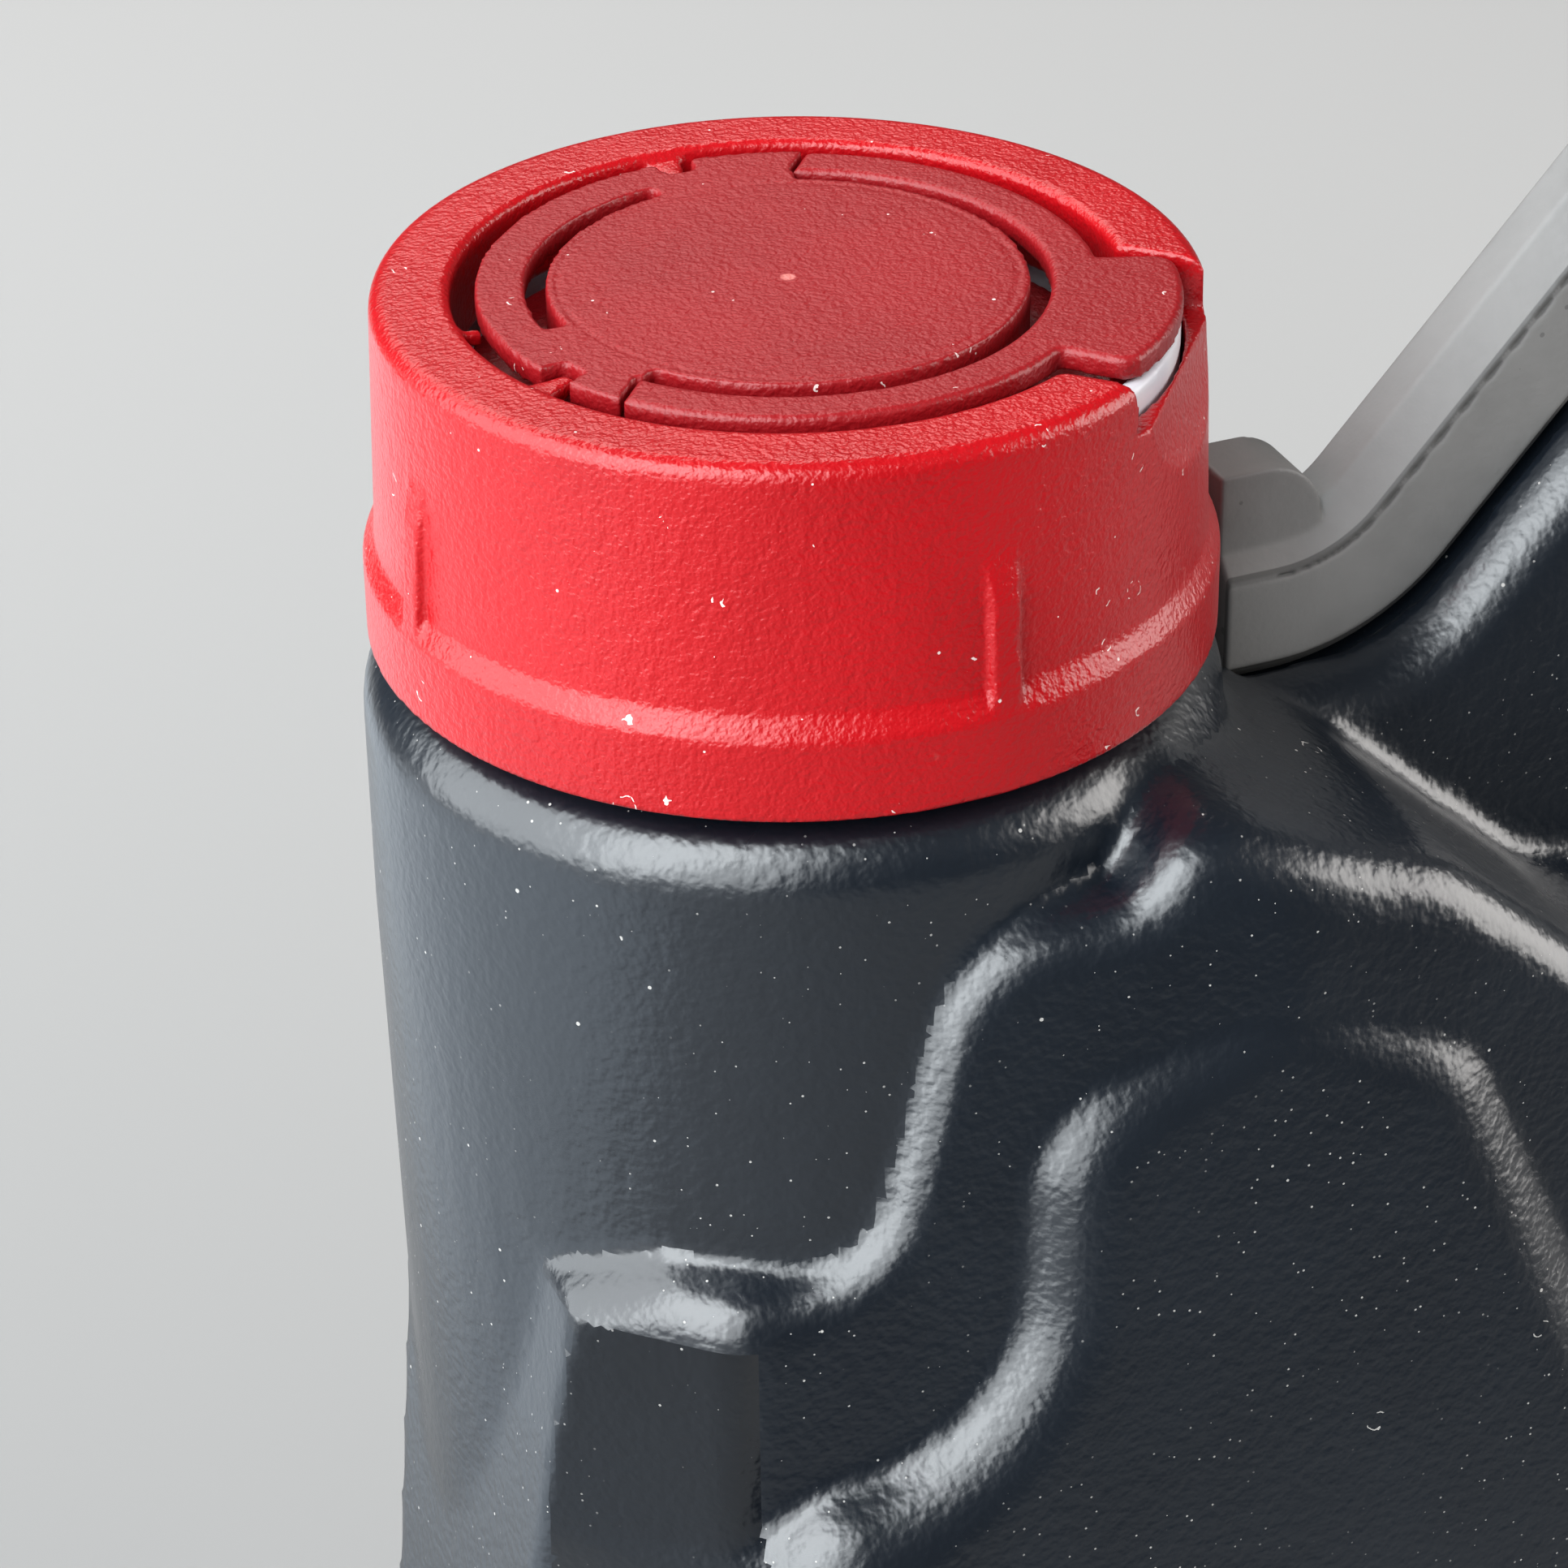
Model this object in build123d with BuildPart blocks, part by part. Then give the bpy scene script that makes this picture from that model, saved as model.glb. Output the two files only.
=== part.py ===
import os
from math import cos, radians, sin

from build123d import *

os.makedirs("parts", exist_ok=True)

# Sizes in mm. X runs along the bottle from the neck end, the front face looks along -Y.
# Points of the body are given from the neck axis and from the lower rim of the cap.
NECK_X = -46.0
FLANGE_Z = 232.0
NECK_END = 40.0
FAR_END = 132.0
HALF_DEPTH = 40.5
WALL = 2.0
FOOT_FILLET = 5.0
FOOT_WIDTH = 8.0
PUSH_UP = 1.5

# Outer cap
CAP_R = 32.0
CAP_LOW_R = CAP_R + 0.6
CAP_HEIGHT = 28.4
CAP_EDGE = 1.3
FLANGE_R = CAP_R + 1.6
FLANGE_HEIGHT = 6.7
FLANGE_CHAMFER_TOP = FLANGE_HEIGHT + 1.9
FLANGE_FOOT = 2.4
CAP_BORE_R = CAP_R - 1.7
CAP_TOP = 1.8
CAP_HOLE_R = CAP_R - 6.2
CAP_LIP = 1.4
CAP_LIP_Z = CAP_HEIGHT - 7.4
RIB_ANGLES = (30.0, 120.0, 210.0, 298.0)
RIB_WIDTH = 2.4
RIB_TOP_Z = CAP_HEIGHT - 7.4

# Neck tower and neck
TOWER_TOP_R = CAP_R + 2.3
TOWER_LOW_R = TOWER_TOP_R - 0.9
TOWER_LOW_Z = -100.0
TAPER_TOP_Z = -24.0
TAPER_LOW_Z = -73.0
SHOULDER_Z = -1.6
SHOULDER_FILLET = 5.0
BEAD_R = CAP_BORE_R - 0.1
BEAD_Z = 2.5
BEAD_HEIGHT = 1.7
BEAD_CLEAR = 0.4
NECK_R = BEAD_R - 2.2
NECK_BORE_R = NECK_R - 2.4

# Flat end panel under the neck, leaning in toward the top
PANEL_LEAN = 7.0
PANEL_AT_Z = -80.0
PANEL_OUT = 33.4
PANEL_HALF = 13.5
PANEL_BACK = 4.0

# Grip bar
BAR_HALF_WIDTH = 5.0
BAR_HALF_HEIGHT = 6.5
BAR_TOP_CHAMFER = 3.0
BAR_LOW_CHAMFER = 2.0
BAR_SEAM = 0.5
BAR_START_X = FLANGE_R + 2.6
BAR_FOOT_Z = -7.3
BAR_BEND_X = BAR_START_X + 11.7
BAR_TOP_X = BAR_BEND_X + 31.8
BAR_TOP_Z = BAR_FOOT_Z + 35.3
BAR_REAR_X = FAR_END - 11.0
BAR_END_Z = -44.0
BAR_BEND_R = 16.0
BAR_TOP_BEND_R = 14.0
BAR_CLEAR = 0.3
WEB_HALF = 11.0
LUG_TOP_Z = 5.0
LUG_END_X = BAR_START_X + 9.3
LUG_BEND_R = 5.0
LUG_HALF = 3.2

# Pour spout
COLLAR_R = CAP_BORE_R - 0.3
COLLAR_LOW_Z = 5.0
COLLAR_TOP_Z = CAP_HEIGHT - CAP_TOP - 0.3
COLLAR_WALL = 1.5
DECK_Z = COLLAR_TOP_Z - 7.8
NECK_TOP_Z = DECK_Z - COLLAR_WALL - 0.5
SLEEVE_R = NECK_BORE_R - 1.8
SLEEVE_LOW_Z = -18.0
TUBE_CLEAR = 0.4
TUBE_LIP = 1.4
TUBE_LIP_HEIGHT = 2.0
TUBE_R = SLEEVE_R - COLLAR_WALL - TUBE_LIP - TUBE_CLEAR
TUBE_WALL = 1.6
TUBE_LOW_Z = SLEEVE_LOW_Z - 1.0
TUBE_TOP_Z = DECK_Z + 0.2
PLUG_WALL = 1.4
PLUG_SKIRT = 20.0
PLUG_FLANGE_Z = TUBE_TOP_Z + 0.3
PLUG_FLANGE_R = CAP_HOLE_R - 0.6

# Closure plan, seen from above: angles are the cap's own, and CAP_TURN sets the cap on the bottle
CAP_TURN = -22.0
DISC_R = TUBE_R - TUBE_WALL - TUBE_CLEAR
RING_IN_R = DISC_R + 1.6
RING_OUT_R = CAP_HOLE_R - 1.9
TAB_R = COLLAR_R + 0.2
TAB_FROM = -33.6
TAB_TO = 8.4
WEB_A = (88.0, 122.0)
WEB_B = (205.0, 237.4)
NOTCH_FROM = -39.0
NOTCH_TO = 6.0
NOTCH_Z = CAP_HEIGHT - 4.2
SCOOP_R = 16.0
SCOOP_OUT = CAP_R + 14.6
SCOOP_Z = CAP_HEIGHT - 3.4
SCOOP_HALF = 10.5
TOOTH_ANGLES = (113.0, 224.0)
TOOTH_R = RING_OUT_R - 1.7
BRIDGE_ANGLE = 197.0
BRIDGE_GAP = 0.35
HINGE_ANGLE = 162.7
HINGE_BACK = (RING_IN_R + RING_OUT_R) / 2 * cos(radians(WEB_B[1] - HINGE_ANGLE))
HINGE_GAP = 0.3

EPS = 0.01

NECK = Plane(origin=(NECK_X, 0, FLANGE_Z), x_dir=(1, 0, 0), z_dir=(0, -1, 0))
NECK_AXIS = Axis((NECK_X, 0, 0), (0, 0, 1))
TURN = radians(CAP_TURN)
CAP = Plane(origin=(NECK_X, 0, FLANGE_Z), x_dir=(cos(TURN), sin(TURN), 0), z_dir=(0, 0, 1))

# Front outlines of the three levels of the body, each with the bend radius of every corner
LOW = -2 * FLANGE_Z
PAST = FAR_END + NECK_END
MAIN = [
    (-PAST, LOW), (-PAST, -60), (2, -60), (3, -26), (25, -15), (44, -27), (62, -72),
    (PAST, -84), (PAST, LOW),
]
MAIN_BENDS = [0, 0, 18, 13, 16, 16, 14, 0, 0]
TERRACE = [
    (-PAST, LOW), (-PAST, -45), (-31, -45), (-22, -39.8), (-8.5, -41), (-1.5, -11), (13, -9.8),
    (16.5, -2.6), (40, -13), (62, -33), (PAST, -50), (PAST, LOW),
]
TERRACE_BENDS = [0, 0, 5, 7, 8, 11, 4, 5.5, 14, 14, 0, 0]
CORE = [(12, -80), (12, -12), (51, -12), (74, 14), (81, -30), (PAST, -30), (PAST, -80)]
CORE_BENDS = [0, 6, 14, 6, 8, 0, 0]

# Plans of the three levels: corners at the neck end are cut off, the terrace is widest behind the neck
TERRACE_NARROW = HALF_DEPTH - 9.5
MAIN_PLAN = [
    (-NECK_END, -PANEL_HALF), (-13, -HALF_DEPTH), (FAR_END, -HALF_DEPTH),
    (FAR_END, HALF_DEPTH), (HALF_DEPTH - PANEL_BACK - NECK_END, HALF_DEPTH), (-NECK_END, PANEL_BACK),
]
TERRACE_PLAN = [
    (-NECK_END, -PANEL_HALF), (-19, 6.7 - HALF_DEPTH), (25, 0.3 - HALF_DEPTH), (FAR_END, -TERRACE_NARROW),
    (FAR_END, TERRACE_NARROW), (25, HALF_DEPTH - 0.3), (-8.7, HALF_DEPTH - 5.2), (-NECK_END, PANEL_BACK),
]
CORE_PLAN = [(0, -WEB_HALF), (FAR_END, -WEB_HALF), (FAR_END, WEB_HALF), (0, WEB_HALF)]

# For each level: the radius of the plan's corners, that of the rim, and the height the rim starts at
MAIN_EDGES = (10.0, 8.0, -95.0)
TERRACE_EDGES = (7.0, 4.0, -62.0)
CORE_EDGES = (6.0, 5.0, -40.0)


def polar(radius, angle):
    """A point of the closure's plan."""
    return (radius * cos(radians(angle)), radius * sin(radians(angle)))


def slab(outline, bends, plan, edges, inset, floor):
    """One level of the body: a front outline run through the depth, kept inside a plan outline."""
    corner, rim, rim_from = edges
    panel = Plane(
        origin=(NECK_X - PANEL_OUT + inset, 0, FLANGE_Z + PANEL_AT_Z),
        z_dir=(-cos(radians(PANEL_LEAN)), 0, sin(radians(PANEL_LEAN))),
    )
    with BuildPart() as level:
        with BuildSketch(NECK.offset(-2 * HALF_DEPTH)):
            with BuildLine():
                FilletPolyline(*outline, radius=bends, close=True)
            make_face()
            if inset > 0:
                offset(amount=-inset)
        extrude(amount=4 * HALF_DEPTH)
        with BuildSketch(Plane.XY.offset(-HALF_DEPTH)):
            with Locations((NECK_X, 0)):
                Polygon(*plan, align=None)
            fillet(vertices(), corner)
            if inset > 0:
                offset(amount=-inset)
        extrude(amount=2 * FLANGE_Z, mode=Mode.INTERSECT)
        split(bisect_by=panel, keep=Keep.BOTTOM)
        split(bisect_by=Plane.XY.offset(floor), keep=Keep.TOP)
        walls = level.faces().filter_by(lambda f: abs(f.normal_at(f.center()).Y) < EPS)
        walls = walls.filter_by(lambda f: f.normal_at(f.center()).X < 1 - EPS)
        walls = walls.filter_by(lambda f: f.center().Z > FLANGE_Z + rim_from)
        walls = walls.filter_by(lambda f: f.center().X > NECK_X - PANEL_HALF)
        rims = walls.edges().filter_by(lambda e: abs((e % 0.5).Y) < 1 - EPS)
        fillet(rims.filter_by(lambda e: e.center().Z > FLANGE_Z + rim_from), rim - inset)
    return level.part


def form(inset, floor):
    """The bottle's shape below the neck, whole or drawn in by the wall for its hollow."""
    with BuildPart() as whole:
        with BuildSketch(NECK):
            with BuildLine():
                Polyline(
                    (0, TOWER_LOW_Z),
                    (TOWER_LOW_R - inset, TOWER_LOW_Z),
                    (TOWER_LOW_R - inset, TAPER_LOW_Z),
                    (TOWER_TOP_R - inset, TAPER_TOP_Z),
                    (TOWER_TOP_R - inset, SHOULDER_Z - inset),
                    (0, SHOULDER_Z - inset),
                    close=True,
                )
            make_face()
            fillet(vertices().group_by(Axis.Y)[-1].sort_by(Axis.X)[-1], SHOULDER_FILLET - inset)
        revolve(axis=NECK_AXIS)
        add(slab(MAIN, MAIN_BENDS, MAIN_PLAN, MAIN_EDGES, inset, floor))
        add(slab(TERRACE, TERRACE_BENDS, TERRACE_PLAN, TERRACE_EDGES, inset, floor))
        add(slab(CORE, CORE_BENDS, CORE_PLAN, CORE_EDGES, inset, floor))
    return whole.part


def bar_path(ends_at_crest):
    """Centre line of the grip bar, or only of the part that lies in the body."""
    points = [(BAR_START_X, BAR_FOOT_Z), (BAR_BEND_X, BAR_FOOT_Z), (BAR_TOP_X, BAR_TOP_Z)]
    bends = [BAR_BEND_R]
    if not ends_at_crest:
        points = points + [(BAR_REAR_X, BAR_TOP_Z), (BAR_REAR_X, BAR_END_Z)]
        bends = bends + [BAR_TOP_BEND_R, BAR_TOP_BEND_R]
    with BuildLine(NECK) as line:
        FilletPolyline(*points, radius=bends)
    return line.wire()


def groove(grow):
    """Channel along the body's top that the bar's front end lies in."""
    half = BAR_HALF_WIDTH + BAR_CLEAR
    low = -BAR_HALF_HEIGHT - BAR_CLEAR
    high = BAR_BEND_R - 4
    start = Plane(
        origin=(NECK_X + BAR_START_X, 0, FLANGE_Z + BAR_FOOT_Z), x_dir=(0, 1, 0), z_dir=(1, 0, 0)
    )
    with BuildPart() as cut:
        with BuildSketch(start):
            Polygon((-half, low), (half, low), (half, high), (-half, high), align=None)
            if grow > 0:
                offset(amount=grow)
        sweep(path=bar_path(True))
        extrude(cut.faces().sort_by(Axis.X)[0], amount=BAR_CLEAR + grow)
    return cut.part


def tooth_room():
    """Gaps in the plug's rims that let it rise past the cap's teeth and the tamper bridge."""
    with BuildSketch() as gaps:
        for angle in TOOTH_ANGLES:
            Polygon(
                polar(CAP_HOLE_R, angle - 5),
                polar(TOOTH_R - TUBE_CLEAR, angle - 3.4),
                polar(TOOTH_R - TUBE_CLEAR, angle + 2.4),
                polar(CAP_HOLE_R, angle + 4),
                align=None,
            )
        Polygon(
            polar(CAP_HOLE_R, BRIDGE_ANGLE - 2.4),
            polar(RING_OUT_R, BRIDGE_ANGLE - 2),
            polar(RING_OUT_R, BRIDGE_ANGLE + 2),
            polar(CAP_HOLE_R, BRIDGE_ANGLE + 2.4),
            align=None,
        )
    return gaps.sketch


# Bottle: one blow-moulded shell of even wall, open at the neck
with BuildPart() as hollow:
    add(form(WALL, WALL + PUSH_UP))
    add(groove(WALL), mode=Mode.SUBTRACT)
    with BuildSketch(Plane.XY.offset(FLANGE_Z + BAR_END_Z - BAR_CLEAR - WALL)):
        with Locations((NECK_X + BAR_REAR_X, 0)):
            Rectangle(
                2 * (BAR_HALF_HEIGHT + BAR_CLEAR + WALL), 2 * (BAR_HALF_WIDTH + BAR_CLEAR + WALL)
            )
    extrude(amount=FLANGE_Z, mode=Mode.SUBTRACT)

with BuildPart() as bottle_body:
    add(form(0, 0))
    fillet(bottle_body.faces().sort_by(Axis.Z)[0].edges(), FOOT_FILLET)
    with BuildSketch(NECK):
        with BuildLine():
            Polyline(
                (0, SHOULDER_Z - WALL),
                (NECK_R, SHOULDER_Z - WALL),
                (NECK_R, BEAD_Z - 0.6),
                (BEAD_R, BEAD_Z),
                (BEAD_R, BEAD_Z + 0.8),
                (NECK_R, BEAD_Z + BEAD_HEIGHT),
                (NECK_R, NECK_TOP_Z),
                (0, NECK_TOP_Z),
                close=True,
            )
        make_face()
    revolve(axis=NECK_AXIS)
    add(groove(0), mode=Mode.SUBTRACT)
    with BuildSketch(Plane.XY.offset(FLANGE_Z + BAR_END_Z - BAR_CLEAR)):
        with Locations((NECK_X + BAR_REAR_X, 0)):
            Rectangle(2 * (BAR_HALF_HEIGHT + BAR_CLEAR), 2 * (BAR_HALF_WIDTH + BAR_CLEAR))
    extrude(amount=FLANGE_Z, mode=Mode.SUBTRACT)
    add(hollow.part, mode=Mode.SUBTRACT)
    with BuildSketch(CAP.offset(SHOULDER_Z - 3 * WALL)):
        Circle(NECK_BORE_R)
    extrude(amount=NECK_TOP_Z - SHOULDER_Z + 4 * WALL, mode=Mode.SUBTRACT)
    with BuildSketch(Plane.XY):
        add(bottle_body.faces().sort_by(Axis.Z)[0])
        offset(amount=-FOOT_WIDTH, mode=Mode.REPLACE)
    extrude(amount=PUSH_UP, taper=30, mode=Mode.SUBTRACT)
bottle_body.part.label = "bottle_body"
export_step(bottle_body.part, "parts/bottle_body.step")

# Grip bar: one moulding of chamfered section with a fine parting groove along each side
with BuildPart() as handle:
    front = Plane(
        origin=(NECK_X + BAR_START_X, 0, FLANGE_Z + BAR_FOOT_Z), x_dir=(0, 1, 0), z_dir=(1, 0, 0)
    )
    with BuildSketch(front):
        seam = BAR_HALF_HEIGHT - BAR_TOP_CHAMFER
        right = [
            (BAR_HALF_WIDTH - BAR_LOW_CHAMFER, -BAR_HALF_HEIGHT),
            (BAR_HALF_WIDTH, BAR_LOW_CHAMFER - BAR_HALF_HEIGHT),
            (BAR_HALF_WIDTH, seam - BAR_SEAM),
            (BAR_HALF_WIDTH - BAR_SEAM, seam - BAR_SEAM / 2),
            (BAR_HALF_WIDTH, seam),
            (BAR_HALF_WIDTH - BAR_TOP_CHAMFER, BAR_HALF_HEIGHT),
        ]
        Polygon(*right, *[(-y, z) for y, z in reversed(right)], align=None)
    sweep(path=bar_path(False))
    with BuildSketch(NECK):
        Polygon(
            (BAR_START_X, BAR_FOOT_Z),
            (BAR_START_X, LUG_TOP_Z),
            (LUG_END_X, LUG_TOP_Z),
            (LUG_END_X, BAR_FOOT_Z),
            align=None,
        )
        fillet(vertices().group_by(Axis.Y)[-1].sort_by(Axis.X)[-1], LUG_BEND_R)
    extrude(amount=LUG_HALF, both=True)
handle.part.label = "handle"
export_step(handle.part, "parts/handle.step")

# Outer cap: collar with flange, snap rib, four gussets, finger scoop and tamper teeth
with BuildPart() as outer_cap:
    with BuildSketch(NECK):
        with BuildLine():
            Polyline(
                (FLANGE_R - FLANGE_FOOT, 0),
                (FLANGE_R, 0),
                (FLANGE_R, FLANGE_HEIGHT),
                (CAP_LOW_R, FLANGE_CHAMFER_TOP),
                (CAP_R, CAP_HEIGHT),
                (CAP_HOLE_R, CAP_HEIGHT),
                (CAP_HOLE_R, CAP_LIP_Z),
                (CAP_HOLE_R + CAP_LIP, CAP_LIP_Z),
                (CAP_HOLE_R + CAP_LIP, CAP_HEIGHT - CAP_TOP),
                (CAP_BORE_R, CAP_HEIGHT - CAP_TOP),
                (CAP_BORE_R, BEAD_Z + BEAD_HEIGHT + 1.2),
                (BEAD_R + BEAD_CLEAR, BEAD_Z + BEAD_HEIGHT + 0.7),
                (BEAD_R + BEAD_CLEAR, BEAD_Z - 0.2),
                (BEAD_R - 0.7, BEAD_Z - 0.9),
                (BEAD_R - 0.7, BEAD_Z - 1.6),
                close=True,
            )
        make_face()
        fillet(vertices().group_by(Axis.Y)[-1].sort_by(Axis.X)[-1], CAP_EDGE)
        fillet(vertices().group_by(Axis.Y)[-1].sort_by(Axis.X)[0], CAP_EDGE / 2)
    revolve(axis=NECK_AXIS)
    for angle in RIB_ANGLES:
        way = radians(angle + CAP_TURN)
        side = Plane(
            origin=(NECK_X, 0, FLANGE_Z), x_dir=(cos(way), sin(way), 0), z_dir=(sin(way), -cos(way), 0)
        )
        with BuildSketch(side):
            Polygon(
                (CAP_R - 1, FLANGE_HEIGHT - 1),
                (FLANGE_R - 0.1, FLANGE_HEIGHT - 1),
                (FLANGE_R - 0.1, FLANGE_HEIGHT + 0.6),
                (FLANGE_R - 0.6, RIB_TOP_Z - 5),
                (CAP_R, RIB_TOP_Z),
                (CAP_R - 1, RIB_TOP_Z),
                align=None,
            )
        extrude(amount=RIB_WIDTH / 2, both=True)
    middle = (NOTCH_FROM + NOTCH_TO) / 2
    with BuildSketch(CAP.offset(NOTCH_Z)):
        Polygon(
            polar(CAP_HOLE_R - 1, NOTCH_FROM - 2.4),
            polar(FLANGE_R, NOTCH_FROM + 2.2),
            polar(FLANGE_R + 4, middle),
            polar(FLANGE_R, NOTCH_TO - 3.5),
            polar(CAP_HOLE_R - 1, NOTCH_TO + 7),
            align=None,
        )
    extrude(amount=CAP_HEIGHT, mode=Mode.SUBTRACT)
    way = radians(middle + CAP_TURN)
    side = Plane(
        origin=(NECK_X, 0, FLANGE_Z), x_dir=(cos(way), sin(way), 0), z_dir=(sin(way), -cos(way), 0)
    )
    with BuildSketch(side):
        with Locations((SCOOP_OUT, SCOOP_Z)):
            Circle(SCOOP_R)
    extrude(amount=SCOOP_HALF, both=True, mode=Mode.SUBTRACT)
    with BuildSketch(CAP.offset(CAP_HEIGHT - CAP_TOP)):
        for angle in TOOTH_ANGLES:
            Polygon(
                polar(CAP_HOLE_R + 1, angle - 4),
                polar(TOOTH_R, angle - 2),
                polar(TOOTH_R, angle + 1),
                polar(CAP_HOLE_R + 1, angle + 3),
                align=None,
            )
        Polygon(
            polar(CAP_HOLE_R + 1, BRIDGE_ANGLE - 1),
            polar(RING_OUT_R + BRIDGE_GAP, BRIDGE_ANGLE - 0.8),
            polar(RING_OUT_R + BRIDGE_GAP, BRIDGE_ANGLE + 0.8),
            polar(CAP_HOLE_R + 1, BRIDGE_ANGLE + 1),
            align=None,
        )
    extrude(amount=CAP_TOP - CAP_EDGE / 2)
outer_cap.part.label = "outer_cap"
export_step(outer_cap.part, "parts/outer_cap.step")

# Spout collar: fitment over the neck with an inner guide sleeve
with BuildPart() as spout_collar:
    with BuildSketch(NECK):
        with BuildLine():
            Polyline(
                (COLLAR_R, COLLAR_LOW_Z),
                (COLLAR_R, COLLAR_TOP_Z),
                (COLLAR_R - COLLAR_WALL, COLLAR_TOP_Z),
                (COLLAR_R - COLLAR_WALL, DECK_Z),
                (TUBE_R + TUBE_CLEAR, DECK_Z),
                (TUBE_R + TUBE_CLEAR, DECK_Z - COLLAR_WALL),
                (SLEEVE_R - COLLAR_WALL, DECK_Z - COLLAR_WALL),
                (SLEEVE_R - COLLAR_WALL, SLEEVE_LOW_Z),
                (SLEEVE_R, SLEEVE_LOW_Z),
                (SLEEVE_R, DECK_Z - COLLAR_WALL),
                (COLLAR_R - COLLAR_WALL, DECK_Z - COLLAR_WALL),
                (COLLAR_R - COLLAR_WALL, COLLAR_LOW_Z),
                close=True,
            )
        make_face()
    revolve(axis=NECK_AXIS)
spout_collar.part.label = "spout_collar"
export_step(spout_collar.part, "parts/spout_collar.step")

# Spout tube: slides up through the collar until its lip meets the collar's top
with BuildPart() as spout_tube:
    with BuildSketch(NECK):
        with BuildLine():
            Polyline(
                (TUBE_R - TUBE_WALL, TUBE_LOW_Z),
                (TUBE_R + TUBE_LIP, TUBE_LOW_Z),
                (TUBE_R + TUBE_LIP, TUBE_LOW_Z + TUBE_LIP_HEIGHT),
                (TUBE_R, TUBE_LOW_Z + TUBE_LIP_HEIGHT),
                (TUBE_R, TUBE_TOP_Z),
                (TUBE_R - TUBE_WALL, TUBE_TOP_Z),
                close=True,
            )
        make_face()
    revolve(axis=NECK_AXIS)
spout_tube.part.label = "spout_tube"
export_step(spout_tube.part, "parts/spout_tube.step")

# Plug: disc with a skirt in the tube, a flange over the tube's end, and two webs out to the arc
# that carries the ring's hinge
with BuildPart() as spout_plug:
    with BuildSketch(CAP.offset(CAP_HEIGHT - CAP_TOP)):
        Circle(RING_OUT_R)
        Circle(RING_IN_R, mode=Mode.SUBTRACT)
        with Locations(polar(HINGE_BACK + CAP_R, HINGE_ANGLE)):
            Rectangle(2 * CAP_R, 2 * CAP_R, rotation=HINGE_ANGLE, mode=Mode.INTERSECT)
        Circle(DISC_R)
        for start, end in (WEB_A, WEB_B):
            Polygon(
                polar(DISC_R - 2, start),
                polar(RING_IN_R, start),
                polar(RING_IN_R + 1, (start + end) / 2),
                polar(RING_IN_R, end),
                polar(DISC_R - 2, end),
                align=None,
            )
        add(tooth_room(), mode=Mode.SUBTRACT)
    extrude(amount=CAP_TOP)
    with BuildSketch(CAP.offset(CAP_HEIGHT - CAP_TOP)):
        Circle(DISC_R)
        Circle(DISC_R - PLUG_WALL, mode=Mode.SUBTRACT)
    extrude(amount=-PLUG_SKIRT)
    with BuildSketch(CAP.offset(PLUG_FLANGE_Z)):
        Circle(PLUG_FLANGE_R)
        Circle(DISC_R - PLUG_WALL, mode=Mode.SUBTRACT)
        add(tooth_room(), mode=Mode.SUBTRACT)
    extrude(amount=PLUG_WALL)
    with BuildSketch(CAP.offset(CAP_HEIGHT - 0.2)):
        Circle(DISC_R - 0.7)
        Circle(DISC_R - 1.1, mode=Mode.SUBTRACT)
    extrude(amount=1, mode=Mode.SUBTRACT)
spout_plug.part.label = "spout_plug"
export_step(spout_plug.part, "parts/spout_plug.step")

# Pull ring: arc with a finger tab, hinged to the ends of the plug's arc
with BuildPart() as pull_ring:
    with BuildSketch(CAP.offset(CAP_HEIGHT - CAP_TOP)):
        with BuildLine():
            outer = ThreePointArc(
                polar(TAB_R - 0.6, TAB_FROM + 2),
                polar(TAB_R, (TAB_FROM + TAB_TO) / 2),
                polar(TAB_R - 0.6, TAB_TO - 2),
            )
            Polyline(outer @ 1, polar(RING_IN_R + 1, TAB_TO), polar(RING_IN_R + 1, TAB_FROM), outer @ 0)
        make_face()
        fillet(vertices().filter_by(lambda v: tuple(v)[0] > RING_OUT_R), 1.8)
        Circle(RING_OUT_R)
        Circle(RING_IN_R, mode=Mode.SUBTRACT)
        with Locations(polar(HINGE_BACK + CAP_R - HINGE_GAP, HINGE_ANGLE)):
            Rectangle(2 * CAP_R, 2 * CAP_R, rotation=HINGE_ANGLE, mode=Mode.SUBTRACT)
    extrude(amount=CAP_TOP)
    fillet(pull_ring.faces().sort_by(Axis.Z)[-1].edges(), 0.4)
pull_ring.part.label = "pull_ring"
export_step(pull_ring.part, "parts/pull_ring.step")
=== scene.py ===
import math

import bpy
from mathutils import Matrix, Vector


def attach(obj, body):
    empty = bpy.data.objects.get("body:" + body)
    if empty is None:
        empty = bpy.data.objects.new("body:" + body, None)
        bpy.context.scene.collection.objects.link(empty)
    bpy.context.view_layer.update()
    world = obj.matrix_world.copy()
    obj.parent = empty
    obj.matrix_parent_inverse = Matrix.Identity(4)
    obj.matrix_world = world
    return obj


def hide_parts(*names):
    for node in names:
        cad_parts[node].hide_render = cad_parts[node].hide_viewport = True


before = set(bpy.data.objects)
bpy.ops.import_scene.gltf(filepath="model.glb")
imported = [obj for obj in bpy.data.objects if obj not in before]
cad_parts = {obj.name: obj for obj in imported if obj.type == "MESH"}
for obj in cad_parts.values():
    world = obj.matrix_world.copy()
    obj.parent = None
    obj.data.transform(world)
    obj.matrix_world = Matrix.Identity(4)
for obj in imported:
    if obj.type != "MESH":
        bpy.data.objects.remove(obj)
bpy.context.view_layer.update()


# Bottle: one blow-moulded polyethylene shell, blue-black, with the soft pebbled skin of its mould.
# It stands on the rim of its bottom; the neck carries the closure and the grip bar lies in its top.
# Its upright panels fall back a little and its neck-end pocket is turned, both in the shading alone.
WELD_GAP = 0.000002
SETTLING = 0.5
BODY_VOXEL = 0.0009
BODY_TRIANGLES = 180000
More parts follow.
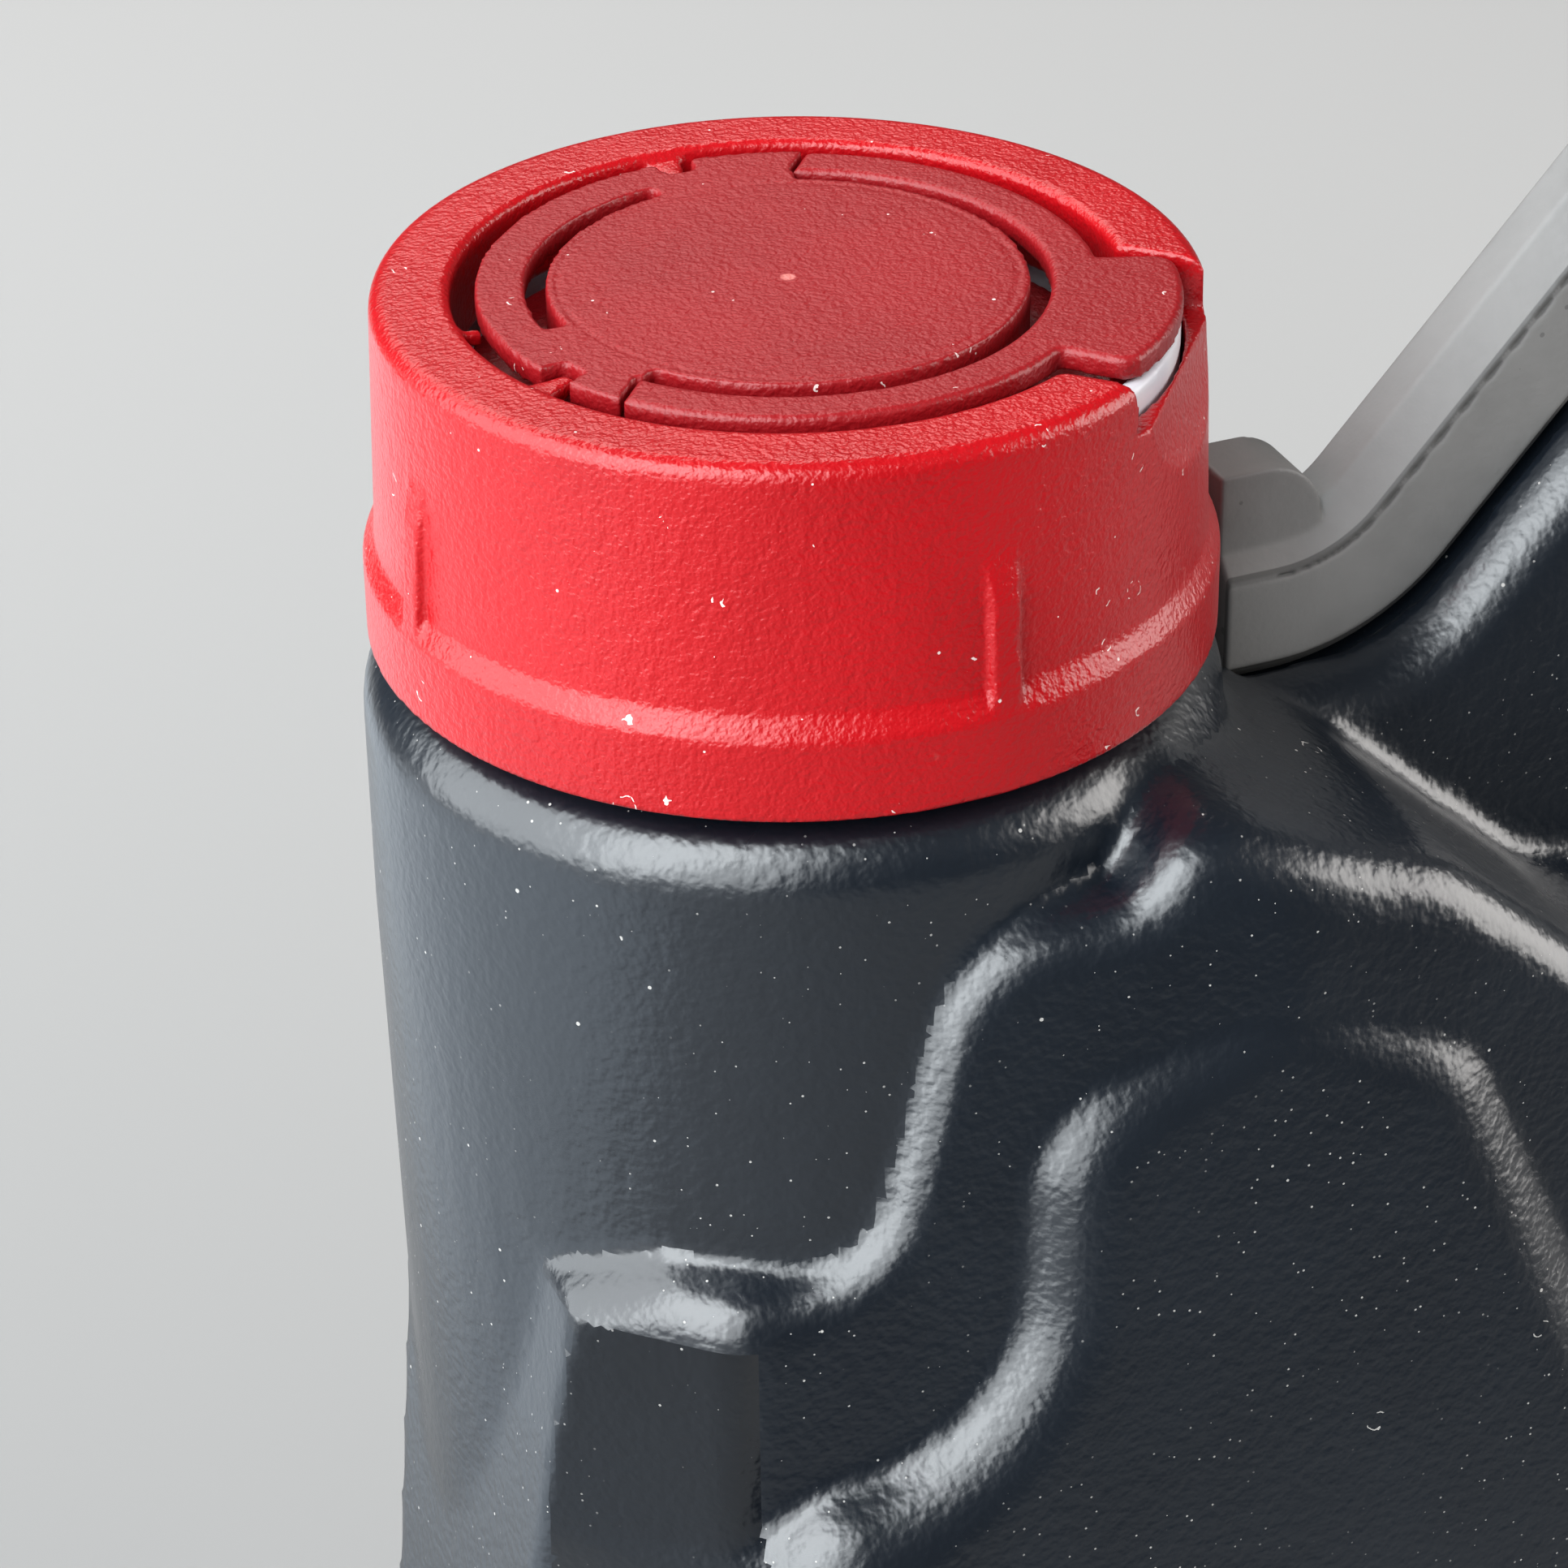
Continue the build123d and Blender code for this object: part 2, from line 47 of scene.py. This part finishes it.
BODY_ROUNDING = 2
FIRM = 0.05
SHOULDER_HEIGHT = 0.229
GROOVE_START = -0.012
GROOVE_HALF_WIDTH = 0.0085
GROOVE_FLOOR = 0.18

# The terrace's rolled edges: where they lie along X, up Z and out from the middle, and their fades.
ROLL_TURNS = 45
ROLL_START, ROLL_START_FADE = -0.034, 0.006
ROLL_END, ROLL_END_FADE = 0.0, 0.012
ROLL_LOW, ROLL_LOW_FADE = 0.212, 0.006
ROLL_TOP, ROLL_TOP_FADE = 0.233, 0.002
ROLL_INNER, ROLL_INNER_FADE = 0.016, 0.006

# The round tower under the neck, the panels around it, and the pocket between them.
NECK_X = -0.046
TOWER_REACH = 0.0336
TOWER_FLARE = 0.0009
TAPER_LOW = 0.159
TAPER_HIGH = 0.208
PANEL_START = -0.077
PANEL_BEND = 0.150
PANEL_SPLAY = 0.125
PANEL_LEAN = 0.24
LEAN_HEIGHT = 0.13
LEAN_FADE = 0.04
POCKET_END = -0.0635
POCKET_X = -0.070
POCKET_LOW = 0.150
POCKET_FULL = 0.168
POCKET_TOP = 0.1865
POCKET_RISE = 0.029
POCKET_TURN = 0.58

# Clouds and grains are given by scale per metre, detail and roughness.
# Specks are given by scale per metre, size and share, and hairs by scale per metre and share.
BODY_COLOR = (0.0036, 0.0062, 0.0105, 1)
BODY_BLOOM = (0.0055, 0.0090, 0.0145, 1)
DUST_COLOR = (0.55, 0.53, 0.50, 1)
PEBBLE = (1150, 1.5, 0.45)
PEEL = (420, 1.0, 0.4)
PEEL_DEPTH = 0.5
BODY_CLOUD = (38, 3.0, 0.55)
BLOOM_RANGE = (0.3, 0.75)
DUST = (700, 0.13, 0.10)
FINE_DUST = (2200, 0.24, 0.10)
DUST_PATCHES = (60, 2.0, 0.5)
DUSTY_RANGE = (0.30, 0.70)
DUST_COVER = 0.7
BODY_HAIRS = (330, 0.02)
BODY_RELIEF = 0.00018
BODY_RELIEF_STRENGTH = 0.45
BODY_ROUGHNESS = 0.24
CLOUD_ROUGHNESS = 0.08
DUST_ROUGHNESS = 0.3
BODY_IOR = 1.54
BODY_SPECULAR = 0.85

# A curled hair is a thin broken ring; its lengths are shares of the hair's own cell.
CURL_RADIUS, CURL_SPREAD = 0.15, 0.20
CURL_THICKNESS = 0.018
CURL_BEND, CURL_BEND_SCALE = 0.42, 2.2
CURL_SHOWN, CURL_BREAK_SCALE = 0.42, 3.2


def copied(node, name):
    """A copy of a node's solid as a new piece, its loose triangles joined."""
    piece = bpy.data.objects.new(name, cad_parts[node].data.copy())
    bpy.context.scene.collection.objects.link(piece)
    bpy.ops.object.select_all(action="DESELECT")
    piece.select_set(True)
    bpy.context.view_layer.objects.active = piece
    bpy.ops.object.mode_set(mode="EDIT")
    bpy.ops.mesh.select_all(action="SELECT")
    bpy.ops.mesh.remove_doubles(threshold=WELD_GAP)
    bpy.ops.object.mode_set(mode="OBJECT")
    piece.data.materials.clear()
    return piece


def soften(piece, name, turns, weights):
    """Rounds the skin: each turn lets every point settle among its neighbours by its own weight."""
    group = piece.vertex_groups.new(name=name)
    for vertex in piece.data.vertices:
        weight = weights(vertex.co)
        if weight > 0:
            group.add([vertex.index], weight, "REPLACE")
    smooth = piece.modifiers.new(name, "SMOOTH")
    smooth.factor = SETTLING
    smooth.iterations = turns
    smooth.vertex_group = name
    bpy.ops.object.modifier_apply(modifier=name)


def moulded(piece, voxel, triangles, softenings):
    """The piece as it leaves its mould: its edges rounded a little and the skin in small even faces."""
    remesh = piece.modifiers.new("skin", "REMESH")
    remesh.mode = "VOXEL"
    remesh.voxel_size = voxel
    bpy.ops.object.modifier_apply(modifier="skin")
    for name, turns, weights in softenings:
        soften(piece, name, turns, weights)
    faces = sum(len(face.vertices) - 2 for face in piece.data.polygons)
    if faces > triangles:
        thin = piece.modifiers.new("thin", "DECIMATE")
        thin.ratio = triangles / faces
        bpy.ops.object.modifier_apply(modifier="thin")
    bpy.ops.object.shade_smooth()


class Value:
    """A socket of a material's nodes. Arithmetic on it adds Math nodes."""

    def __init__(self, tree, socket=None):
        self.tree = tree
        self.socket = socket

    def node(self, kind, settings, inputs, output=0):
        """Any node: its type, its settings, then the values or links of its sockets."""
        made = self.tree.nodes.new(kind)
        for key, setting in settings.items():
            setattr(made, key, setting)
        for key, value in inputs.items():
            if isinstance(value, Value):
                self.tree.links.new(value.socket, made.inputs[key])
            else:
                made.inputs[key].default_value = value
        return Value(self.tree, made.outputs[output])

    def math(self, operation, first, second):
        return self.node("ShaderNodeMath", {"operation": operation}, {0: first, 1: second})

    def __add__(self, other):
        return self.math("ADD", self, other)

    def __radd__(self, other):
        return self.math("ADD", other, self)

    def __sub__(self, other):
        return self.math("SUBTRACT", self, other)

    def __rsub__(self, other):
        return self.math("SUBTRACT", other, self)

    def __mul__(self, other):
        return self.math("MULTIPLY", self, other)

    def __rmul__(self, other):
        return self.math("MULTIPLY", other, self)

    def __lt__(self, other):
        return self.math("LESS_THAN", self, other)

    def __gt__(self, other):
        return self.math("GREATER_THAN", self, other)

    def axis(self, name):
        """One coordinate of a place."""
        return self.node("ShaderNodeSeparateXYZ", {}, {"Vector": self}, name)

    def noise(self, place, scale, detail=2.0, roughness=0.5):
        """Cloudy variation from 0 to 1, with features about 1 / scale metres wide."""
        inputs = {"Vector": place, "Scale": scale, "Detail": detail, "Roughness": roughness}
        return self.node("ShaderNodeTexNoise", {}, inputs, "Fac")

    def ramp(self, low, high):
        """This value spread so that low becomes 0 and high becomes 1, smoothly."""
        inputs = {"Value": self, "From Min": low, "From Max": high}
        return self.node("ShaderNodeMapRange", {"interpolation_type": "SMOOTHSTEP"}, inputs, "Result")

    def blend(self, first, second):
        """Two colours mixed by this value."""
        inputs = {"Factor": self, 6: first, 7: second}
        return self.node("ShaderNodeMix", {"data_type": "RGBA"}, inputs, 2)

    def either(self, other):
        """The larger of two masks."""
        return self.math("MAXIMUM", self, other)

    def cells(self, place, scale, share):
        """Cells 1 / scale metres wide: distance from each one's middle, those chosen, and their girth."""
        cell = {"Vector": place, "Scale": scale}
        near = self.node("ShaderNodeTexVoronoi", {}, cell, "Distance")
        parts = {"Color": self.node("ShaderNodeTexVoronoi", {}, cell, "Color")}
        chosen = self.node("ShaderNodeSeparateColor", {}, parts, "Red") < share
        return near, chosen, self.node("ShaderNodeSeparateColor", {}, parts, "Green")

    def specks(self, place, scale, size, share):
        """Small round specks in a share of the cells."""
        near, chosen, girth = self.cells(place, scale, share)
        return chosen * (near < girth * size)

    def curls(self, place, scale, share):
        """Curled hairs of lint in a share of the cells."""
        near, chosen, girth = self.cells(place, scale, share)
        bent = near + (self.noise(place, scale * CURL_BEND_SCALE) - 0.5) * CURL_BEND
        off_line = bent - (CURL_RADIUS + CURL_SPREAD * girth)
        line = self.math("ABSOLUTE", off_line, 0.0) < CURL_THICKNESS
        return chosen * line * (self.noise(place, scale * CURL_BREAK_SCALE, 1.0) < CURL_SHOWN)

    def bump(self, strength, distance, height, normal=None):
        """A surface relief, on top of another where one is given."""
        inputs = {"Strength": strength, "Distance": distance, "Height": height}
        if normal:
            inputs["Normal"] = normal
        return self.node("ShaderNodeBump", {}, inputs)


def plastic(name):
    """A new material: its start for other nodes, the place on the object, and its shader node."""
    material = bpy.data.materials.new(name)
    material.use_nodes = True
    start = Value(material.node_tree)
    place = start.node("ShaderNodeTexCoord", {}, {}, "Object")
    return material, start, place, material.node_tree.nodes["Principled BSDF"]


def feed(start, shader, sockets):
    """Links values into a shader's sockets."""
    for key, value in sockets.items():
        start.tree.links.new(value.socket, shader.inputs[key])


def body_softness(co):
    """How freely a point may settle: the neck and the bar's channel keep their form."""
    in_groove = co.x > GROOVE_START and abs(co.y) < GROOVE_HALF_WIDTH and co.z > GROOVE_FLOOR
    return FIRM if in_groove or co.z > SHOULDER_HEIGHT else 1.0


def roll_softness(co):
    """The terrace's front and back edges beside the bar roll over widely, fading out around them."""
    along = min((co.x - ROLL_START) / ROLL_START_FADE, (ROLL_END - co.x) / ROLL_END_FADE)
    high = min((co.z - ROLL_LOW) / ROLL_LOW_FADE, (ROLL_TOP - co.z) / ROLL_TOP_FADE)
    out = (abs(co.y) - ROLL_INNER) / ROLL_INNER_FADE
    return max(0.0, min(1.0, along, high, out))


def evenly(co):
    return 1.0


def blown_skin(name, lean, pocket):
    """Blown polyethylene, pebbled and dusty; its panels fall back by lean, and a pocket faces along X."""
    material, start, place, shader = plastic(name)
    cloud = start.noise(place, *BODY_CLOUD)
    skin = cloud.ramp(*BLOOM_RANGE).blend(BODY_COLOR, BODY_BLOOM)
    dusty = start.noise(place, *DUST_PATCHES).ramp(*DUSTY_RANGE)
    dust = start.specks(place, *DUST).either(start.specks(place, *FINE_DUST) * dusty)
    specks = dust.either(start.curls(place, *BODY_HAIRS))
    height = place.axis("Z")
    rise_inputs = {0: height - LEAN_HEIGHT, 1: 0.0, 2: LEAN_FADE}
    rise = start.node("ShaderNodeMath", {"operation": "SMOOTH_MAX"}, rise_inputs)
    sunk = height.ramp(POCKET_LOW, POCKET_FULL) * pocket
    turned = (place.axis("X") - POCKET_X) * sunk * POCKET_TURN
    panel = start.bump(1.0, 1.0, (rise - POCKET_RISE) * (sunk - 1.0) * lean - turned)
    relief = start.noise(place, *PEBBLE) + start.noise(place, *PEEL) * PEEL_DEPTH
    feed(start, shader, {
        "Base Color": (specks * DUST_COVER).blend(skin, DUST_COLOR),
        "Roughness": BODY_ROUGHNESS + cloud * CLOUD_ROUGHNESS + specks * DUST_ROUGHNESS,
        "Normal": start.bump(BODY_RELIEF_STRENGTH, BODY_RELIEF, relief, panel),
    })
    shader.inputs["IOR"].default_value = BODY_IOR
    shader.inputs["Specular IOR Level"].default_value = BODY_SPECULAR
    return material


def skin_place(spot):
    """Which skin a spot of the body has: 0 on the tower and its end, 1 on the panels, 2 in the pocket."""
    taper = (spot.z - TAPER_LOW) / (TAPER_HIGH - TAPER_LOW)
    reach = TOWER_REACH + TOWER_FLARE * max(0.0, min(1.0, taper))
    panel_start = PANEL_START - PANEL_SPLAY * max(0.0, PANEL_BEND - spot.z)
    if math.hypot(spot.x - NECK_X, spot.y) <= reach or spot.x <= panel_start:
        return 0
    in_pocket = spot.x < POCKET_END and spot.y < 0 and POCKET_LOW < spot.z < POCKET_TOP
    return 2 if in_pocket else 1


body = copied("bottle_body", "bottle_shell")
body_softenings = (
    ("skin_rounding", BODY_ROUNDING, body_softness),
    ("roll", ROLL_TURNS, roll_softness),
)
moulded(body, BODY_VOXEL, BODY_TRIANGLES, body_softenings)
body.data.materials.append(blown_skin("tower_skin", 0.0, 0.0))
body.data.materials.append(blown_skin("panel_skin", PANEL_LEAN, 0.0))
body.data.materials.append(blown_skin("pocket_skin", PANEL_LEAN, 1.0))
for face in body.data.polygons:
    face.material_index = skin_place(face.center)
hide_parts("bottle_body")
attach(body, "bottle")


# Grip bar: a separate grey moulding with a parting groove along each side, painted darker there as shade
# in the groove.
# Its front end lies in the body's channel and its rear leg stands in a pocket of the far end.
BAR_VOXEL = 0.00024
BAR_TRIANGLES = 180000
BAR_ROUNDING = 1
BAR_COLOR = (0.175, 0.171, 0.166, 1)
BAR_LIGHT = (0.215, 0.210, 0.204, 1)
BAR_GROOVE_SHADE_AND_PITS = (0.06, 0.058, 0.056, 1)
BAR_GRAIN = (1400, 2.0, 0.5)
BAR_CLOUD = (70, 4.0, 0.6)
BAR_TONE_RANGE = (0.3, 0.7)
BAR_PITS = (500, 0.22, 0.12)
PIT_DARKENING = 0.5
PIT_DEPTH = 0.8
SEAM_PAINTED_SHADE = 0.8
SEAM_FLOOR = (0.00455, 0.00465)
SEAM_LIP = (0.00496, 0.00486)
BAR_ROUGHNESS = 0.46
BAR_ROUGHNESS_SPREAD = 0.14
BAR_RELIEF = 0.00012
BAR_RELIEF_STRENGTH = 0.3

bar_skin, start, place, shader = plastic("bar_skin")
cloud = start.noise(place, *BAR_CLOUD)
pits = start.specks(place, *BAR_PITS)
tone = cloud.ramp(*BAR_TONE_RANGE).blend(BAR_COLOR, BAR_LIGHT)
half_width = start.math("ABSOLUTE", place.axis("Y"), 0.0)
# This mask paints shade into the parting groove along each side.
groove_shade = half_width.ramp(*SEAM_FLOOR) * half_width.ramp(*SEAM_LIP)
relief = start.noise(place, *BAR_GRAIN) - pits * PIT_DEPTH
feed(start, shader, {
    # One dark colour paints shade into the groove and makes the pits darker.
    "Base Color": (pits * PIT_DARKENING).either(groove_shade * SEAM_PAINTED_SHADE).blend(tone, BAR_GROOVE_SHADE_AND_PITS),
    "Roughness": BAR_ROUGHNESS + cloud * BAR_ROUGHNESS_SPREAD,
    "Normal": start.bump(BAR_RELIEF_STRENGTH, BAR_RELIEF, relief),
})

bar = copied("handle", "grip_bar")
moulded(bar, BAR_VOXEL, BAR_TRIANGLES, (("rounding", BAR_ROUNDING, evenly),))
bar.data.materials.append(bar_skin)
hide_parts("handle")
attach(bar, "bottle")


# Spout collar and tube: milky natural polyethylene, injection moulded and snapped over the neck.
# The tube slides up through the collar; only the collar's rim shows, in the cap's finger scoop.
SPOUT_VOXEL = 0.0004
SPOUT_TRIANGLES = 90000
SPOUT_ROUNDING = 2
SPOUT_COLOR = (0.62, 0.60, 0.66, 1)
SPOUT_PALE = (0.72, 0.70, 0.74, 1)
SPOUT_HAZE = (140, 3.0, 0.5)
HAZE_RANGE = (0.3, 0.7)
SPOUT_RIPPLE = 300
SPOUT_ROUGHNESS = 0.28
SPOUT_ROUGHNESS_SPREAD = 0.16
SPOUT_RELIEF = 0.0002
SPOUT_RELIEF_STRENGTH = 0.15

spout_skin, start, place, shader = plastic("spout_skin")
haze = start.noise(place, *SPOUT_HAZE)
feed(start, shader, {
    "Base Color": haze.ramp(*HAZE_RANGE).blend(SPOUT_COLOR, SPOUT_PALE),
    "Roughness": SPOUT_ROUGHNESS + haze * SPOUT_ROUGHNESS_SPREAD,
    "Normal": start.bump(SPOUT_RELIEF_STRENGTH, SPOUT_RELIEF, start.noise(place, SPOUT_RIPPLE)),
})
for node, name, carrier in (
    ("spout_collar", "pour_collar", "bottle"),
    ("spout_tube", "pour_tube", "spout"),
):
    fitment = copied(node, name)
    moulded(fitment, SPOUT_VOXEL, SPOUT_TRIANGLES, (("rounding", SPOUT_ROUNDING, evenly),))
    fitment.data.materials.append(spout_skin)
    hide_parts(node)
    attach(fitment, carrier)


# Plug, pull ring and outer cap: red mouldings with a sparked grain on every outer face.
# The cap snaps under the neck bead, the plug sits in the tube and the ring folds up from the plug.
# The plug and ring are duller than the cap, and the mould's gate left a pale dot on the plug.
CAP_VOXEL = 0.0003
CAP_TRIANGLES = 180000
CAP_ROUNDING = 2
CAP_COLOR = (0.42, 0.0025, 0.0060, 1)
CAP_DEEP = (0.37, 0.002, 0.005, 1)
CAP_DULLNESS = 0.27
PLUG_COLOR = (0.28, 0.0025, 0.0060, 1)
PLUG_DEEP = (0.24, 0.002, 0.005, 1)
PLUG_DULLNESS = 0.40
SCUFF_COLOR = (0.72, 0.22, 0.19, 1)
LINT_COLOR = (0.85, 0.72, 0.68, 1)
SPARKED_GRAIN = (2300, 1.5, 0.5)
COARSE_GRAIN = (900, 1.5, 0.5)
COARSE_DEPTH = 0.8
CAP_CLOUD = (55, 3.0, 0.55)
RED_RANGE = (0.3, 0.7)
SCUFFS = (240, 5.0, 0.7)
SCUFF_RANGE = (0.66, 0.78)
SCUFF_COVER = 0.16
SCUFF_ROUGHNESS = 0.2
CAP_CLOUD_ROUGHNESS = 0.06
LINT = (900, 0.14, 0.06)
LINT_HAIRS = (330, 0.10)
LINT_COVER = 0.8
GATE_RADIUS = 0.0007
GATE_CORE = 0.6
GATE_COVER = 0.7
CAP_RELIEF = 0.00014
CAP_RELIEF_STRENGTH = 0.85
CAP_SPECULAR = 0.50


def red_moulding(name, color, deep_color, dullness):
    """Red plastic with a leathery sparked grain, scuffed, with lint caught in it."""
    material, start, place, shader = plastic(name)
    cloud = start.noise(place, *CAP_CLOUD)
    scuffs = start.noise(place, *SCUFFS).ramp(*SCUFF_RANGE)
    lint = start.specks(place, *LINT).either(start.curls(place, *LINT_HAIRS))
    red = cloud.ramp(*RED_RANGE).blend(deep_color, color)
    flat = start.node("ShaderNodeVectorMath", {"operation": "MULTIPLY"}, {0: place, 1: (1, 1, 0)})
    from_axis = {0: flat, 1: (NECK_X, 0, 0)}
    off_axis = start.node("ShaderNodeVectorMath", {"operation": "DISTANCE"}, from_axis, "Value")
    gate = off_axis.ramp(GATE_RADIUS, GATE_RADIUS * GATE_CORE)
    worn = (scuffs * SCUFF_COVER).either(gate * GATE_COVER).blend(red, SCUFF_COLOR)
    relief = start.noise(place, *SPARKED_GRAIN) + start.noise(place, *COARSE_GRAIN) * COARSE_DEPTH
    feed(start, shader, {
        "Base Color": (lint * LINT_COVER).blend(worn, LINT_COLOR),
        "Roughness": dullness + cloud * CAP_CLOUD_ROUGHNESS + scuffs * SCUFF_ROUGHNESS,
        "Normal": start.bump(CAP_RELIEF_STRENGTH, CAP_RELIEF, relief),
    })
    shader.inputs["Specular IOR Level"].default_value = CAP_SPECULAR
    return material


cap_skin = red_moulding("cap_skin", CAP_COLOR, CAP_DEEP, CAP_DULLNESS)
plug_skin = red_moulding("plug_skin", PLUG_COLOR, PLUG_DEEP, PLUG_DULLNESS)
for node, name, carrier, skin in (
    ("spout_plug", "plug_disc", "spout", plug_skin),
    ("pull_ring", "fold_ring", "ring", plug_skin),
    ("outer_cap", "cap_collar", "bottle", cap_skin),
):
    moulding = copied(node, name)
    moulded(moulding, CAP_VOXEL, CAP_TRIANGLES, (("rounding", CAP_ROUNDING, evenly),))
    moulding.data.materials.append(skin)
    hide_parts(node)
    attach(moulding, carrier)


# Floor: one wide pale paper sheet that the bottle stands on.
# Its colour is painted paler behind the bottle and darker in front of it: a painted pool of light behind,
# painted shade in front.
FLOOR_SIZE = 6.0
FLOOR_CELLS = 8
FLOOR_COLOR = (0.55, 0.542, 0.535, 1)
FLOOR_PAINTED_SHADE = (0.16, 0.158, 0.156, 1)
FLOOR_ROUGHNESS = 0.8
SHADE_ALONG, SHADE_DEEP = 0.37, 0.93
SHADE_FRONT, SHADE_BACK = -0.35, 0.95

bpy.ops.object.select_all(action="DESELECT")
bpy.ops.mesh.primitive_grid_add(x_subdivisions=FLOOR_CELLS, y_subdivisions=FLOOR_CELLS, size=FLOOR_SIZE)
floor = bpy.context.active_object
floor.name = "pale_floor"
floor_paper, start, place, shader = plastic("floor_paper")
# The floor's colour runs from the painted shade in front to the pale colour behind.
depth = place.axis("X") * SHADE_ALONG + place.axis("Y") * SHADE_DEEP
feed(start, shader, {"Base Color": depth.ramp(SHADE_FRONT, SHADE_BACK).blend(FLOOR_PAINTED_SHADE, FLOOR_COLOR)})
shader.inputs["Roughness"].default_value = FLOOR_ROUGHNESS
floor.data.materials.append(floor_paper)


# Light: soft boxes to the left, in front and to the right, a lamp over the floor behind, and a card
# that lies on the floor to the left. Places are seen from the camera: right, away, up from the floor.
VIEW_TURN = math.radians(22)
CAP_SEAT = Vector((NECK_X, 0, 0.232))
CLOSURE_HEIGHT = 0.23
COOL_LIGHT = (0.92, 0.97, 1.0)
WARM_LIGHT = (1.0, 0.97, 0.94)
CARD_LIGHT = (0.72, 0.86, 1.0)
ROOM_COLOR = (1, 1, 1, 1)
ROOM_LIGHT = 0.06
view_turn = Matrix.Rotation(-VIEW_TURN, 3, "Z")


def seen_place(right, away, height):
    return view_turn @ Vector((right, away, 0)) + Vector((CAP_SEAT.x, CAP_SEAT.y, height))


def soft_box(name, place, aim, size, strength, color):
    """A flat lamp of that size, as bright as a white surface times strength."""
    lamp = bpy.data.lights.new(name, "AREA")
    lamp.shape = "RECTANGLE"
    lamp.color = color
    lamp.size = size[0]
    lamp.size_y = size[1]
    lamp.energy = strength * math.pi * size[0] * size[1]
    holder = bpy.data.objects.new(name, lamp)
    holder.location = place
    holder.visible_camera = False
    holder.rotation_euler = (aim - place).to_track_quat("-Z", "Y").to_euler()
    bpy.context.scene.collection.objects.link(holder)


closure = seen_place(0, 0, CLOSURE_HEIGHT)
over_card = seen_place(-0.45, 0.13, 1)
floor_behind = seen_place(-0.35, 0.85, 0)
soft_box("left_wall", seen_place(-0.72, -0.26, 0.70), closure, (1.5, 1.5), 4.3, COOL_LIGHT)
soft_box("front_wall", seen_place(-0.40, -0.80, 0.78), closure, (0.9, 1.4), 3.9, COOL_LIGHT)
soft_box("right_wall", seen_place(0.85, 0.08, 0.48), closure, (0.7, 0.6), 5.4, WARM_LIGHT)
soft_box("left_card", seen_place(-0.45, 0.12, 0.01), over_card, (0.5, 0.9), 0.75, CARD_LIGHT)
soft_box("rear_box", seen_place(-0.45, 1.25, 1.3), floor_behind, (1.2, 0.6), 4.2, WARM_LIGHT)
room = bpy.data.worlds.new("room")
bpy.context.scene.world = room
room.use_nodes = True
room.node_tree.nodes["Background"].inputs["Color"].default_value = ROOM_COLOR
room.node_tree.nodes["Background"].inputs["Strength"].default_value = ROOM_LIGHT


# Camera: fitted to the cap's rims in the photograph, a long lens looking down at the closure.
# Its shift is the place of the cap's seat from the camera: to the right, up and ahead.
VIEW_PITCH = math.radians(30.9)
VIEW_ROLL = math.radians(-0.83)
FOCAL_PIXELS = 6000
IMAGE_PIXELS = 1932
SENSOR_WIDTH = 36
NEAR_LIMIT = 0.01
SHIFT_RIGHT, SHIFT_UP, SHIFT_AHEAD = 0.00065, 0.01429, 0.3858

right = Vector((1, 0, 0))
up = Vector((0, math.sin(VIEW_PITCH), math.cos(VIEW_PITCH)))
ahead = Vector((0, math.cos(VIEW_PITCH), -math.sin(VIEW_PITCH)))
across = right * math.cos(VIEW_ROLL) + up * math.sin(VIEW_ROLL)
upward = up * math.cos(VIEW_ROLL) - right * math.sin(VIEW_ROLL)
stand = -(across * SHIFT_RIGHT + upward * SHIFT_UP + ahead * SHIFT_AHEAD)
columns = [view_turn @ across, view_turn @ upward, view_turn @ -ahead]
matrix = Matrix(columns).transposed().to_4x4()
matrix.translation = view_turn @ stand + CAP_SEAT
lens = bpy.data.cameras.new("camera")
lens.sensor_width = SENSOR_WIDTH
lens.lens = SENSOR_WIDTH * FOCAL_PIXELS / IMAGE_PIXELS
lens.clip_start = NEAR_LIMIT
camera = bpy.data.objects.new("camera", lens)
camera.matrix_world = matrix
bpy.context.scene.collection.objects.link(camera)
bpy.context.scene.camera = camera
bpy.context.scene.view_settings.view_transform = "Standard"
